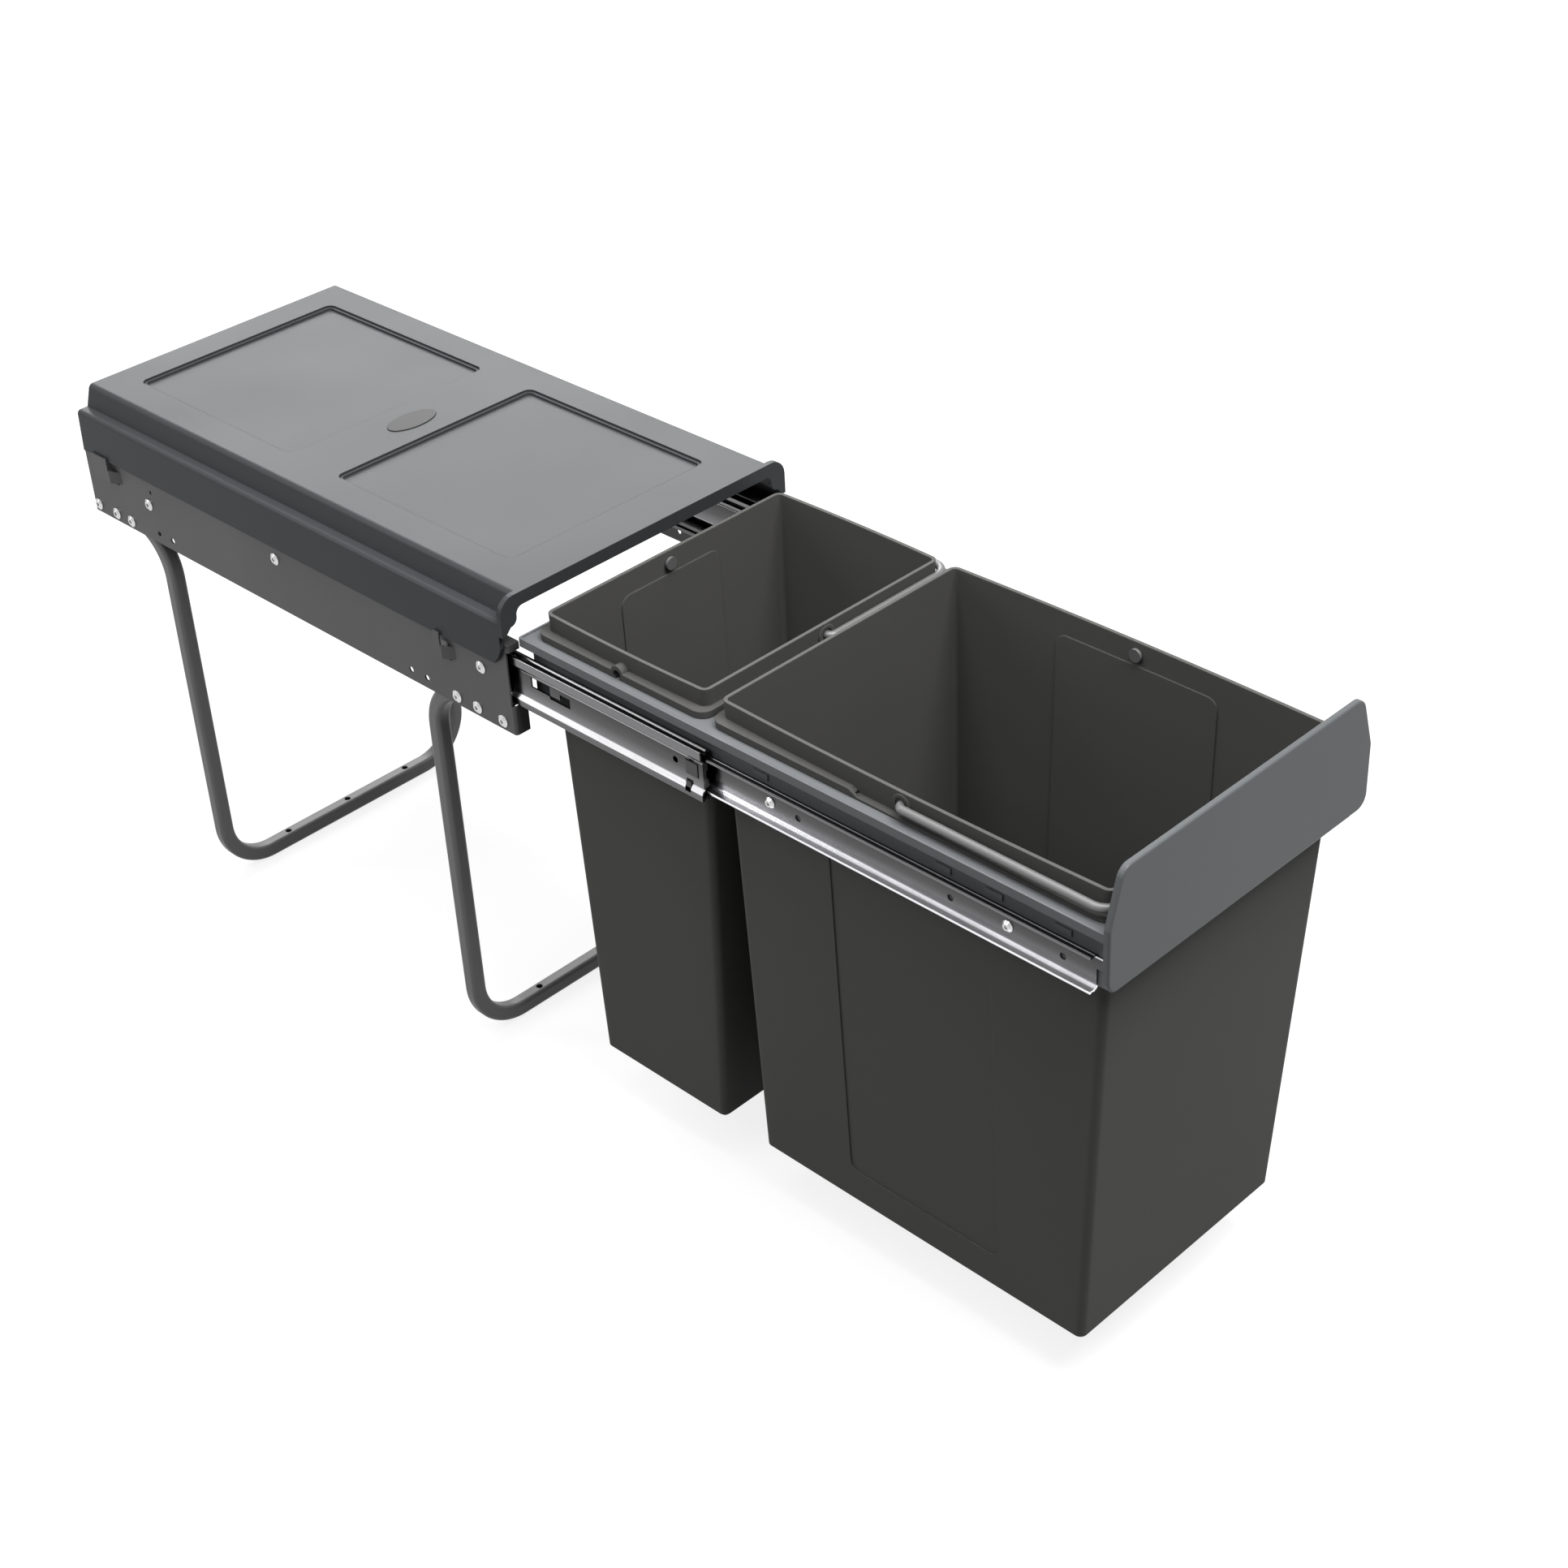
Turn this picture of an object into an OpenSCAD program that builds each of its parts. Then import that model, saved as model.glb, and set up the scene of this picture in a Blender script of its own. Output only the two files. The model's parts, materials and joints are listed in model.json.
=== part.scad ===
// Pull-out waste unit for a base cabinet: two bins on a carrier that runs out under a fixed lid.
// It is drawn with the carrier fully out. The origin lies on the cabinet floor, midway between the
// two floor bars. +Z is up and -Y is the front. Pieces of the carrier are placed as if it were
// closed, and pulled() then moves them out along their slides.

/* [Floor frame] */
// Outer width of the square floor tubes
tube_w = 12; // [10:0.5:14]
// Wall of the floor tubes
tube_wall = 1.2; // [0.8:0.1:2]
// Rounding of the tubes' outer edges
tube_r = 3.4; // [2.2:0.1:4]
// Centre-line radius of the bends in the tubes
bend_r = 39; // [30:1:45]
// Distance between the two floor bars
bar_spacing = 308; // [260:1:330]
// Diameter of the floor-screw holes
floor_hole_d = 5; // [4:0.1:6]
// Distance between neighbouring floor-screw holes along a bar
floor_hole_pitch = 60.5; // [40:0.5:70]
// Height of the side plates' lower edges above the floor
leg_h = 305; // [220:1:340]

/* [Side plates] */
// Width over the outer faces of the two side plates
housing_w = 250; // [240:1:300]
// Thickness of the side plates' steel
sheet = 1.2; // [0.8:0.1:1.5]
// Distance from the front floor bar to the front of the lid
front_overhang = 94; // [80:1:110]
// Width of the flange along the top of each side plate
top_flange = 10; // [6:0.5:10.5]
// Width of the flange at the front of each side plate
front_flange = 11.7; // [8:0.1:12]

/* [Slides] */
// How far the carrier runs out
travel = 475; // [420:1:480]
// Height of the slides
slide_h = 45.5; // [45.5:0.5:50]
// Total thickness of a slide
slide_t = 12.7; // [12.7:0.1:13.5]
// Thickness of the slide members' steel
rail_t = 1.2; // [1:0.05:1.3]
// How far the outer members run on behind the inner ones
rail_tail = 31; // [15:1:40]
// Length of the intermediate members
middle_rail_l = 385; // [370:1:400]
// Length of the inner members
drawer_rail_l = 419; // [400:1:428]
// Diameter of the balls between outer and intermediate members
outer_ball_d = 4.6; // [4.2:0.1:4.8]
// Diameter of the balls between intermediate and inner members
inner_ball_d = 3.5; // [3.2:0.1:3.8]

/* [Carrier] */
// Wall of the moulded carrier
carrier_wall = 2.2; // [1.6:0.1:2.8]
// Depth of the carrier's side walls below its ledge
carrier_depth = 43.5; // [30:0.5:46]
// Thickness of the front panel
panel_t = 4; // [3:0.5:8]
// How far each end of the front panel stands out past the ledge
panel_proud = 0.5; // [0:0.1:3]
// Height of the front panel
panel_h = 79.5; // [60:0.5:90]

/* [Bins] */
// Length of the large bin at its rim
large_bin_l = 296.6; // [250:0.2:310]
// Length of the small bin at its rim
small_bin_l = 144.8; // [110:0.2:160]
// Height of the bins
bin_h = 355.2; // [280:0.2:370]
// Wall of the bins
bin_wall = 2.5; // [1.8:0.1:3]
// Width of the flange that a bin hangs by, at its sides
flange_w = 6.4; // [5.8:0.1:7]
// Width of that flange at its two ends
flange_end_w = 3.8; // [3:0.1:4.5]
// Height of the collar above that flange
collar_h = 12; // [11:0.5:16]
// Diameter of the handles' wire
wire_d = 5.6; // [4:0.1:5.8]

/* [Lid] */
// Wall of the moulded lid
lid_wall = 2.5; // [1.8:0.1:3]
// Height of the lid's skirt below its side ledge
skirt_h = 33; // [28:0.5:36]
// Depth of the two sunk fields in the lid's top
field_depth = 3; // [1:0.5:4]

/* [Hidden] */
$fn = 48;
cut = 1; // overrun of every cut
slice = 0.1; // thickness of the slices that hulls span
fit = 0.05; // running fit, on the radius

// Heights, from the floor up
tube_inset = 0.6;
arm_gap = 4.9;
slide_gap = 3.3;
carrier_gap = 1;
carrier_skirt = 5;
seat_gap = 0.1;
flange_h = 4.9;
housing_h = tube_inset + tube_w + arm_gap + slide_h + slide_gap + sheet;
housing_top = leg_h + housing_h;
arm_z = leg_h + tube_inset + tube_w / 2;
slide_z = housing_top - sheet - slide_gap - slide_h / 2;
ledge_z = housing_top + carrier_gap + carrier_skirt;
flange_z = ledge_z + seat_gap;
flange_top = flange_z + flange_h;
rim_z = flange_top + collar_h;
bin_z = rim_z - bin_h;

// Half widths, from the outside in
ledge_gap = 3.8;
bin_side_gap = 3.4;
plate_out = housing_w / 2;
plate_in = plate_out - sheet;
leg_x = plate_in - tube_w / 2;
wall_out = plate_in - slide_t;
wall_in = wall_out - carrier_wall;
ledge_x = plate_in - ledge_gap;
panel_x = ledge_x + panel_proud;
bin_x = wall_in - bin_side_gap;

// Places along Y with the carrier closed, from the front
panel_gap = 2.5;
front_clear = 3.3;
flange_gap = 5;
rear_clear = 7.8;
rear_room = 13.8;
housing_setback = 1;
lid_short = 4;
rail_setback = 7;
bar_y = bar_spacing / 2;
lid_front = -bar_y - front_overhang;
housing_front = lid_front + housing_setback;
rail_front = housing_front + rail_setback;
panel_back = lid_front - panel_gap;
large_y0 = panel_back + front_clear + flange_end_w;
large_y1 = large_y0 + large_bin_l;
small_y0 = large_y1 + 2 * flange_end_w + flange_gap;
small_y1 = small_y0 + small_bin_l;
carrier_rear = small_y1 + flange_end_w + rear_clear;
housing_rear = carrier_rear + rear_room;
cabinet_rail_l = drawer_rail_l + rail_tail;
lid_rear = housing_rear - lid_short;

// Shares of the travel that the slides' loose members make
middle_share = 0.375;
outer_cage_share = middle_share / 2;
inner_cage_share = (1 + middle_share) / 2;

// Helpers

// Moves a piece out with the carrier, by a share of the travel
module pulled(share = 1) translate([0, -travel * share, 0]) children();

module on_right() mirror([1, 0, 0]) children();

module on_both_sides() {
    children();
    mirror([1, 0, 0]) children();
}

// A section drawn in X and Z, drawn out along Y from y0 to y1
module along_y(y0, y1) translate([0, y1, 0]) rotate([90, 0, 0]) linear_extrude(y1 - y0) children();

// A section drawn in Y and Z, drawn out along X from x0 to x1
module along_x(x0, x1) translate([x0, 0, 0]) rotate([90, 0, 90]) linear_extrude(x1 - x0) children();

// A round bar or a cutter along X, from x0 to x1
module rod_x(x0, x1, y, z, d) translate([x0, y, z]) rotate([0, 90, 0]) cylinder(d = d, h = x1 - x0);

// A round bar or a cutter along Y, from y0 to y1
module rod_y(y0, y1, x, z, d) translate([x, y1, z]) rotate([90, 0, 0]) cylinder(d = d, h = y1 - y0);

// Points of an arc, and an outline's points mirrored to the other side
function arc(c, r, a0, a1, n = 6) = [
    for (i = [0:n]) let (a = a0 + (a1 - a0) * i / n) [c[0] + r * cos(a), c[1] + r * sin(a)]
];
function flipped(p) = [for (i = [len(p) - 1:-1:0]) [-p[i][0], p[i][1]]];

// A rectangle [x0, x1, y0, y1] with round corners, and the same grown all round
module round_rect(b, r) {
    translate([b[0] + r, b[2]]) square([b[1] - b[0] - 2 * r, b[3] - b[2]]);
    translate([b[0], b[2] + r]) square([b[1] - b[0], b[3] - b[2] - 2 * r]);
    for (x = [b[0] + r, b[1] - r], y = [b[2] + r, b[3] - r]) translate([x, y]) circle(r);
}
function grown(b, d) = [b[0] - d, b[1] + d, b[2] - d, b[3] + d];

// A plain rectangle [x0, x1, y0, y1]
module rect(b) translate([b[0], b[2]]) square([b[1] - b[0], b[3] - b[2]]);

// Folded sheet: a leg up the Y axis to height a, bent over with outer radius r to length b
module fold(a, b, t, r) {
    square([t, a - r]);
    translate([r, a - t]) square([b - r, t]);
    intersection() {
        translate([0, a - r]) square([r, r]);
        translate([r, a - r]) difference() {
            circle(r);
            circle(r - t);
        }
    }
}

// Rivet along +Z: a domed head with a set centre below zero, a shank through the grip, and a
// spread tail of height tail_h beyond it
rivet_head_d = 9;
rivet_head_h = 1.7;
rivet_d = 4.8;
rivet_core_d = 2.8;
module rivet(grip, tail_h) {
    difference() {
        union() {
            translate([0, 0, -rivet_head_h])
                cylinder(d1 = rivet_core_d * 2, d2 = rivet_head_d, h = rivet_head_h * 0.6);
            translate([0, 0, -rivet_head_h * 0.4]) cylinder(d = rivet_head_d, h = rivet_head_h * 0.4);
            cylinder(d = rivet_d, h = grip);
            translate([0, 0, grip]) cylinder(d = rivet_d + rivet_core_d * 0.6, h = tail_h);
        }
        translate([0, 0, -rivet_head_h - cut]) cylinder(d = rivet_core_d, h = rivet_head_h + cut);
    }
}

// Floor tubes

floor_hole_xs = [-floor_hole_pitch, 0, floor_hole_pitch];
front_arm_inset = 4;
rear_arm_inset = 0.8;
front_arm = -housing_front - front_arm_inset;
rear_arm = housing_rear - rear_arm_inset;
front_rivet_inset = 8.5;
rear_rivet_inset = 4.5;
bend_rivet_inset = 5;
arm_rivet_shares = [0, 0.45, 1];
function arm_rivets(arm, inset) = let (y0 = bar_y + bend_r - bend_rivet_inset, y1 = arm - inset)
    [for (s = arm_rivet_shares) y0 + (y1 - y0) * s];
front_rivets = arm_rivets(front_arm, front_rivet_inset);
rear_rivets = arm_rivets(rear_arm, rear_rivet_inset);

module tube_section(inset) {
    h = tube_w / 2 - inset;
    round_rect([-h, h, -h, h], max(tube_r - inset, tube_wall / 4));
}

module tube_bend(inset) rotate_extrude(angle = 90) translate([bend_r, 0]) tube_section(inset);

// One U with its arms running to y = arm, as a solid bar of the tube's section less an inset
module tube_run(arm, inset, overrun = 0) {
    low = tube_w / 2;
    along_x(-leg_x + bend_r, leg_x - bend_r) translate([bar_y, low]) tube_section(inset);
    on_both_sides() {
        translate([-leg_x + bend_r, bar_y, low + bend_r]) rotate([0, 180, 0]) rotate([90, 0, 0])
            tube_bend(inset);
        translate([-leg_x, bar_y, low + bend_r]) linear_extrude(arm_z - low - 2 * bend_r) tube_section(inset);
        translate([-leg_x, bar_y + bend_r, arm_z - bend_r]) rotate([90, 0, -90]) tube_bend(inset);
        along_y(bar_y + bend_r, arm + overrun) translate([-leg_x, arm_z]) tube_section(inset);
    }
}

module floor_tube(arm, rivets) difference() {
    tube_run(arm, 0);
    tube_run(arm, tube_wall, cut);
    for (x = floor_hole_xs) translate([x, bar_y, -cut]) cylinder(d = floor_hole_d, h = tube_w + 2 * cut);
    on_both_sides() for (y = rivets)
        rod_x(-plate_in - cut, -plate_in + tube_wall + cut, y, arm_z, rivet_d + 2 * fit);
}

module rear_floor_tube() color("dimgray") floor_tube(rear_arm, rear_rivets);
module front_floor_tube() color("dimgray") mirror([0, 1, 0]) floor_tube(front_arm, front_rivets);

module tube_rivets() color("silver") on_both_sides() {
    for (y = concat(rear_rivets, [for (y = front_rivets) -y]))
        translate([-plate_out, y, arm_z]) rotate([0, 90, 0]) rivet(sheet + tube_wall, rivet_head_h);
}

// Side plates

plate_bend_r = 2.2;
notch_gap = 0.7;
notch_top = 5.5;
free_hole_d = 4.5;
free_hole_rise = 8.2;
rear_free_hole_offsets = [-1.8, -18.6];
front_free_hole_offsets = [2.9, -13.8];
free_hole_ys = concat(
    [for (o = rear_free_hole_offsets) bar_y + o],
    [for (o = front_free_hole_offsets) -bar_y - o]
);
slot_rise = 41.7;
slot_h = 3.5;
slot_w = 2;
// Places of the rivets that hold the cabinet rails: shares of the rails' length, and of the
// slides' height from their centre
rail_rivet_shares = [[0.0498, 0.0154], [0.5411, 0.0154], [0.886, -0.2154]];
rail_rivet_places = [for (s = rail_rivet_shares) [rail_front + cabinet_rail_l * s[0], slide_h * s[1]]];
// The lanced clips that grip the lid's skirt: foot, reach to the free end, and height of the flag
clip_gap = 0.4;
clip_foot_rise = 36;
clip_strip_h = 9.5;
clip_ramp = 9;
rear_clip_foot = 45;
rear_clip_l = 29;
rear_clip_flag = 19;
front_clip_foot = 55;
front_clip_l = 16;
front_clip_flag = 6;
clip_hold = 2.6;

skirt_gap = 0.5;
skirt_in = plate_out + skirt_gap;
skirt_out = skirt_in + lid_wall;

// A clip whose foot is at y, lanced towards the rear; its flag stands outside the lid's skirt
module lid_clip(y, l, flag) {
    z0 = leg_h + clip_foot_rise;
    z1 = z0 + clip_strip_h;
    reach = skirt_out + clip_gap;
    translate([0, 0, z0]) linear_extrude(clip_strip_h) polygon([
        [-plate_in, y], [-plate_out, y], [-reach - sheet, y + clip_ramp],
        [-reach - sheet, y + l], [-reach, y + l], [-reach, y + clip_ramp]
    ]);
    along_x(-reach - sheet, -reach)
        rect([y + l - flag, y + l, z0, lid_skirt_z + clip_hold]);
}

module clip_window(y, l) {
    z0 = leg_h + clip_foot_rise;
    along_x(-plate_out - cut, -plate_in + cut)
        round_rect([y, y + l, z0 - 2 * sheet, z0 + clip_strip_h + sheet], sheet);
}

module left_plate() {
    front_y = housing_front + plate_bend_r;
    slot_z = leg_h + slot_rise;
    notch_z0 = slide_z - middle_track_v - lip_h - notch_gap;
    notch_z1 = housing_top - notch_top;
    difference() {
        union() {
            along_y(front_y, housing_rear) translate([-plate_out, leg_h])
                fold(housing_h, top_flange, sheet, plate_bend_r);
            for (z = [[leg_h, notch_z0, front_flange], [notch_z1, housing_top - sheet, top_flange]])
                translate([-plate_out, housing_front + 2 * plate_bend_r, z[0]]) linear_extrude(z[1] - z[0])
                    mirror([0, 1]) fold(2 * plate_bend_r, z[2], sheet, plate_bend_r);
            translate([-plate_out, housing_front, housing_top - sheet])
                cube([top_flange, plate_bend_r, sheet]);
            lid_clip(rear_clip_y, rear_clip_l, rear_clip_flag);
            lid_clip(front_clip_y, front_clip_l, front_clip_flag);
        }
        for (y = concat(rear_rivets, [for (y = front_rivets) -y]))
            rod_x(-plate_out - cut, -plate_in + cut, y, arm_z, rivet_d + 2 * fit);
        for (p = rail_rivet_places)
            rod_x(-plate_out - cut, -plate_in + cut, p[0], slide_z + p[1], rivet_d + 2 * fit);
        for (y = free_hole_ys)
            rod_x(-plate_out - cut, -plate_in + cut, y, leg_h + free_hole_rise, free_hole_d);
        along_x(-plate_out - cut, -plate_in + cut)
            round_rect([bar_y - slot_w / 2, bar_y + slot_w / 2, slot_z - slot_h / 2, slot_z + slot_h / 2],
                slot_w / 2 - fit);
        clip_window(rear_clip_y + clip_ramp / 2, rear_clip_l);
        clip_window(front_clip_y + clip_ramp / 2, front_clip_l);
    }
}
rear_clip_y = housing_rear - rear_clip_foot;
front_clip_y = housing_front + front_clip_foot;

module left_housing() color("dimgray") left_plate();
module right_housing() color("dimgray") on_right() left_plate();

module rail_rivets() color("silver") on_both_sides() for (p = rail_rivet_places)
    translate([-plate_out, p[0], slide_z + p[1]]) rotate([0, 90, 0]) rivet(sheet + rail_t, rail_t * 0.8);

// Slides. Their sections are drawn for the left side: the first axis runs inwards from the side
// plate and the second is the height from the slide's centre.

outer_ball_u = 5.6;
inner_ball_u = 8.2;
cabinet_flange = 10.2;
cabinet_hook = 1.65;
nose_u = 2.3;
web_u = 4.1;
jog_h = 3;
lip_h = 1.4;
lip_half = 3.05;
shoulder_h = 0.6;
shoulder_half = 2.05;
middle_flange_u = 10.9;
middle_hook = 1;
drawer_flange_u = 5.9;
rail_bend_r = 1.8;
nose_r = 1.1;
cage_t = 0.8;

track_r = outer_ball_d / 2 + fit;
inner_track_r = inner_ball_d / 2 + fit;
cabinet_track_v = slide_h / 2 - rail_t;
outer_ball_v = cabinet_track_v - track_r;
middle_track_v = outer_ball_v - track_r;
middle_under_v = middle_track_v - rail_t;
inner_ball_v = middle_under_v - inner_track_r;
drawer_track_v = inner_ball_v - inner_track_r;
jog_top_v = middle_under_v - inner_track_r * 1.8;

module up_and_down() {
    children();
    mirror([0, 1]) children();
}

module cabinet_section() up_and_down() {
    fold(slide_h / 2, cabinet_flange, rail_t, rail_bend_r);
    translate([cabinet_flange - rail_t, cabinet_track_v - cabinet_hook])
        square([rail_t, cabinet_hook + rail_t / 2]);
}

module middle_section() up_and_down() difference() {
    union() {
        translate([web_u, 0]) square([rail_t, jog_top_v - jog_h]);
        polygon([
            [web_u, jog_top_v - jog_h], [web_u + rail_t, jog_top_v - jog_h],
            [nose_u + rail_t, jog_top_v], [nose_u, jog_top_v]
        ]);
        rect([nose_u, nose_u + rail_t, jog_top_v, middle_track_v]);
        rect([nose_u, outer_ball_u + lip_half, middle_under_v, middle_track_v + lip_h - nose_r]);
        rect([nose_u + nose_r, outer_ball_u + lip_half - nose_r, middle_under_v, middle_track_v + lip_h]);
        for (u = [nose_u + nose_r, outer_ball_u + lip_half - nose_r])
            translate([u, middle_track_v + lip_h - nose_r]) circle(nose_r);
        rect([outer_ball_u, middle_flange_u, middle_under_v, middle_track_v]);
        rect([middle_flange_u - rail_t / 2, middle_flange_u, middle_under_v - middle_hook, middle_track_v]);
        rect([inner_ball_u - shoulder_half, inner_ball_u + shoulder_half,
            middle_under_v - shoulder_h, middle_track_v]);
    }
    translate([outer_ball_u, outer_ball_v]) circle(track_r);
    translate([inner_ball_u, inner_ball_v]) circle(inner_track_r);
}

module drawer_section() up_and_down() difference() {
    union() {
        translate([slide_t, 0]) mirror([1, 0])
            fold(drawer_track_v, slide_t - drawer_flange_u, rail_t, rail_bend_r);
        rect([inner_ball_u - shoulder_half, inner_ball_u + shoulder_half,
            drawer_track_v - rail_t / 2, drawer_track_v + shoulder_h]);
    }
    translate([inner_ball_u, inner_ball_v]) circle(inner_track_r);
}

// Moves a slide's section or solid to the left side plate
module at_left_slide() translate([-plate_in, 0, slide_z]) children();

module left_cabinet_member() at_left_slide() difference() {
    along_y(rail_front, rail_front + cabinet_rail_l) cabinet_section();
    for (p = rail_rivet_places) rod_x(-cut, rail_t + cut, p[0], p[1], rivet_d + 2 * fit);
}
module left_cabinet_rail() color("gainsboro") left_cabinet_member();
module right_cabinet_rail() color("gainsboro") on_right() left_cabinet_member();

// Stops at the back of the cabinet rails, which the drawer rails meet when the unit is closed
bumper_l = 9;
bumper_gap = 0.4;
module rail_bumpers() color([0.1, 0.1, 0.1]) on_both_sides() at_left_slide() {
    y0 = rail_front + drawer_rail_l + bumper_gap;
    h = drawer_track_v;
    along_y(y0, y0 + bumper_l) round_rect([rail_t, slide_t - rail_t / 2, -h, h], rail_bend_r);
    along_y(y0 + bumper_l / 2, y0 + bumper_l)
        rect([rail_t, cabinet_flange - 2 * rail_t, -cabinet_track_v, cabinet_track_v]);
}

// Parts of the middle rail's stepped window: shares of the rail's length from its front end, and
// of the slide's height from its centre
window_shares = [
    [0.361, 0.4078, 0.011, 0.1758], [0.3351, 0.3623, -0.033, 0.033], [0.3117, 0.3364, -0.033, 0.1319]
];
catch_window_y = 4;
catch_window_l = 11;
catch_window_low = 3;
catch_window_high = 7.5;
catch_notch_l = 4;
catch_notch_h = 1.5;
catch_window = [
    rail_front + catch_window_y, rail_front + catch_window_y + catch_window_l,
    -catch_window_low, catch_window_high
];
middle_hole_y = 24;
middle_hole_v = 2.7;
middle_hole_d = 4.5;
clip_slot_y = 10;
clip_slot_w = 5;

module left_middle_member() at_left_slide() difference() {
    along_y(rail_front, rail_front + middle_rail_l) middle_section();
    along_x(web_u - cut, web_u + rail_t + cut) {
        for (w = window_shares)
            rect([rail_front + middle_rail_l * w[0], rail_front + middle_rail_l * w[1],
                slide_h * w[2], slide_h * w[3]]);
        rect(catch_window);
        translate([(catch_window[0] + catch_window[1] - catch_notch_l) / 2, catch_window_high - slice])
            square([catch_notch_l, catch_notch_h + slice]);
    }
    rod_x(web_u - cut, web_u + rail_t + cut, rail_front + middle_hole_y, middle_hole_v, middle_hole_d);
    along_x(nose_u - cut, web_u + rail_t + fit)
        rect([rail_front + clip_slot_y, rail_front + clip_slot_y + clip_slot_w,
            -middle_under_v + shoulder_h, -catch_v + 2 * rail_t]);
}
module left_middle_rail() color("gainsboro") pulled(middle_share) left_middle_member();
module right_middle_rail() color("gainsboro") pulled(middle_share) on_right() left_middle_member();

// Plastic end catches: a block on the inner face of the web, with a hook through the clip slot
catch_l = 19;
catch_t = 3;
catch_v = 9;
catch_gap = 0.4;
module middle_rail_catches() color([0.1, 0.1, 0.1]) pulled(middle_share) on_both_sides() at_left_slide() {
    u0 = web_u + rail_t;
    y0 = rail_front;
    difference() {
        along_y(y0, y0 + catch_l) round_rect([u0, u0 + catch_t, -catch_v, catch_v], rail_t / 2);
        along_y(y0 - cut, y0 + catch_l + cut)
            rect([u0 + catch_t / 2, u0 + catch_t + cut, -catch_v / 3, catch_v / 3]);
    }
    along_x(web_u - rail_t / 2, u0 + catch_t / 2)
        rect([catch_window[0] + catch_gap, catch_window[1] - catch_gap,
            catch_window[2] + catch_gap, catch_window[3] - catch_gap]);
    hook = [y0 + clip_slot_y + catch_gap, y0 + clip_slot_y + clip_slot_w - catch_gap];
    along_x(nose_u + rail_t / 2, u0) rect([hook[0], hook[1], -jog_top_v + catch_gap, -catch_v + rail_t]);
    along_x(u0 - slice, u0 + catch_t / 2) rect([hook[0], hook[1], -catch_v, -catch_v + rail_t]);
}

// Ball rows. A cage is a strip with one hole for each ball.
outer_ball_count = 8;
inner_ball_count = 5;
cage_margin = 8.5;
cage_gap = 0.4;
outer_cage_l = middle_rail_l - travel * middle_share - 2 * cage_margin;
inner_cage_l = drawer_rail_l - travel * (1 - middle_share) - 1.4 * cage_margin;
outer_cage_y = rail_front + (middle_rail_l - travel * middle_share) / 2 + travel * outer_cage_share;
inner_cage_y = rail_front + (drawer_rail_l - travel * (1 + middle_share)) / 2 + travel * inner_cage_share;

function ball_ys(centre, l, count) = [for (i = [0:count - 1]) centre + l * ((i + 0.5) / count - 0.5)];

module cage(centre, l, count, u0, u1, ball_u, v, ball_d) difference() {
    along_y(centre - l / 2, centre + l / 2) rect([u0, u1, v - cage_t / 2, v + cage_t / 2]);
    for (y = ball_ys(centre, l, count))
        translate([ball_u, y, v - cage_t]) cylinder(d = ball_d + 2 * fit, h = 2 * cage_t);
}

module above_and_below() {
    children();
    mirror([0, 0, 1]) children();
}

module outer_ball_cages() color("tan") pulled(outer_cage_share) on_both_sides() at_left_slide()
    above_and_below() cage(outer_cage_y, outer_cage_l, outer_ball_count,
        nose_u, cabinet_flange - rail_t - cage_gap, outer_ball_u, outer_ball_v, outer_ball_d);

module outer_balls() color("silver") pulled(outer_cage_share) on_both_sides() at_left_slide()
    above_and_below() for (y = ball_ys(outer_cage_y, outer_cage_l, outer_ball_count))
        translate([outer_ball_u, y, outer_ball_v]) sphere(d = outer_ball_d);

module inner_ball_cages() color("tan") pulled(inner_cage_share) on_both_sides() at_left_slide()
    above_and_below() cage(inner_cage_y, inner_cage_l, inner_ball_count,
        drawer_flange_u, middle_flange_u - rail_t / 2 - cage_gap, inner_ball_u, inner_ball_v, inner_ball_d);

module inner_balls() color("silver") pulled(inner_cage_share) on_both_sides() at_left_slide()
    above_and_below() for (y = ball_ys(inner_cage_y, inner_cage_l, inner_ball_count))
        translate([inner_ball_u, y, inner_ball_v]) sphere(d = inner_ball_d);

// Drawer rails. The places along a rail are shares of its length.
rail_screw_ys = [for (s = [0.1492, 0.5902]) drawer_rail_l * s];
rail_hole_ys = [for (s = [0.0556, 0.2506, 0.5358]) drawer_rail_l * s];
rail_hole_d = 4.5;
rail_hole_v = -1.3;
screw_d = 4;
screw_head_d = 7.6;
screw_head_h = 2.2;
socket_d = 2.5;
front_tab_l = 6;
front_tab_v = 2;

module left_drawer_member() at_left_slide() difference() {
    union() {
        along_y(rail_front, rail_front + drawer_rail_l) drawer_section();
        along_y(rail_front - front_tab_l, rail_front)
            rect([slide_t - rail_t, slide_t, front_tab_v, drawer_track_v - rail_bend_r]);
    }
    for (y = rail_screw_ys)
        rod_x(slide_t - rail_t - cut, slide_t + cut, rail_front + y, 0, screw_d + 2 * fit);
    for (y = rail_hole_ys)
        rod_x(slide_t - rail_t - cut, slide_t + cut, rail_front + y, rail_hole_v, rail_hole_d);
}
module left_drawer_rail() color("gainsboro") pulled() left_drawer_member();
module right_drawer_rail() color("gainsboro") pulled() on_right() left_drawer_member();

// Button-head screw along +Z: its head below zero, its shank of length l above
module button_screw(l) difference() {
    union() {
        translate([0, 0, -screw_head_h])
            cylinder(d1 = screw_head_d * 0.6, d2 = screw_head_d, h = screw_head_h * 0.7);
        translate([0, 0, -screw_head_h * 0.3]) cylinder(d = screw_head_d, h = screw_head_h * 0.3);
        cylinder(d = screw_d, h = l);
    }
    translate([0, 0, -screw_head_h - cut]) cylinder(d = socket_d, h = cut + screw_head_h * 0.7);
}

module rail_screws() color("silver") pulled() on_both_sides() at_left_slide()
    for (y = rail_screw_ys) translate([slide_t - rail_t, rail_front + y, 0]) rotate([0, 90, 0])
        button_screw(rail_t + carrier_wall);

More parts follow.
